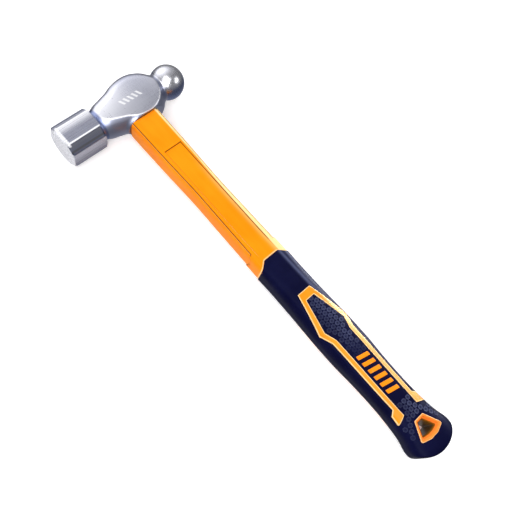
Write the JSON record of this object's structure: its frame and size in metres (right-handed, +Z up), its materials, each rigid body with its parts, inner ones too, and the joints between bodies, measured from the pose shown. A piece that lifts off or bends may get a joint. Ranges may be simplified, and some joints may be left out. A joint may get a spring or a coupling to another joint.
{
  "type": "ball peen hammer",
  "caption": "Ball peen hammer with an octagonal striking poll, a round ball peen and a cored handle with a soft flared grip, for metalwork.",
  "frame": {"origin": "middle of the footprint on the surface that the hammer lies on: X and Y are the middle of the whole object's box, Z is the lower flat of the poll", "axes": "+X runs along the handle from the head to the butt of the grip; -Y is the way the striking face points and +Y the way the ball points; +Z is up through the upper cheek, across the thickness of the hammer as it lies on its side"},
  "size_m": [0.3366, 0.1058, 0.027],
  "materials": {
    "head_steel": "ground and lightly polished forged steel, cross-brushed on the poll and cheeks, mirror-polished on the ball",
    "core_fibreglass": "sawn end of a glass-fibre rod in resin",
    "bond_resin": "cast resin, slightly glossy skin",
    "jacket_orange": "semi-gloss injection-moulded orange plastic",
    "grip_soft": "matt soft moulded grip, very dark navy, with panels of small hexagons",
    "inlay_orange": "semi-gloss orange moulded inlay",
    "liner_orange": "semi-gloss reddish orange moulded liner"
  },
  "bodies": {
    "root": {"hammer_head": "head_steel", "handle_core": "core_fibreglass", "eye_bond": "bond_resin", "shank_jacket": "jacket_orange", "grip_sleeve": "grip_soft", "grip_inlay_upper": "inlay_orange", "grip_inlay_lower": "inlay_orange", "grip_emblem_upper": "inlay_orange", "grip_emblem_lower": "inlay_orange", "hang_hole_liner": "liner_orange"}
  },
  "joints": []
}
